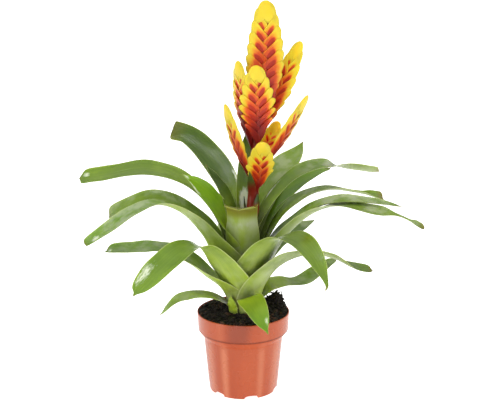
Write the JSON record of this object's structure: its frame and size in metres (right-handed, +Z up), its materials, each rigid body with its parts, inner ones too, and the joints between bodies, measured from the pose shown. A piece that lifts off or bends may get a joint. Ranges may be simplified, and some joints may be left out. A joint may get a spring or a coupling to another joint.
{
  "type": "potted flaming sword bromeliad",
  "caption": "Branched flaming sword bromeliad: a rosette of arching strap leaves round a stalk of flat red and yellow flower spikes, growing in a tapered plastic nursery pot.",
  "frame": {"origin": "middle of the pot's foot, on the surface that it stands on", "axes": "+Z up, along the pot's axis; -Y towards the front of the plant; +X to its right"},
  "size_m": [0.4425, 0.3196, 0.5042],
  "materials": {
    "pot": "satin",
    "soil": "matte",
    "stock": "satin",
    "scape": "satin",
    "bract": "satin",
    "leaf": "satin"
  },
  "bodies": {
    "root": {"pot": "pot", "soil": "soil", "stock": "stock", "scape": "scape", "spike_main": "bract", "spike_front": "bract", "spike_left": "bract", "spike_right": "bract", "spike_low_front": "bract", "spike_low_left": "bract", "spike_low_right": "bract", "spike_back": "bract", "leaf_01": "leaf", "leaf_02": "leaf", "leaf_03": "leaf", "leaf_04": "leaf", "leaf_05": "leaf", "leaf_06": "leaf", "leaf_07": "leaf", "leaf_08": "leaf", "leaf_09": "leaf", "leaf_10": "leaf", "leaf_11": "leaf", "leaf_12": "leaf", "leaf_13": "leaf", "leaf_14": "leaf", "leaf_15": "leaf", "leaf_16": "leaf", "leaf_17": "leaf", "leaf_18": "leaf", "leaf_19": "leaf", "leaf_20": "leaf", "leaf_21": "leaf", "leaf_22": "leaf", "leaf_23": "leaf", "leaf_24": "leaf", "leaf_25": "leaf", "leaf_26": "leaf", "leaf_27": "leaf", "leaf_28": "leaf"}
  },
  "joints": []
}
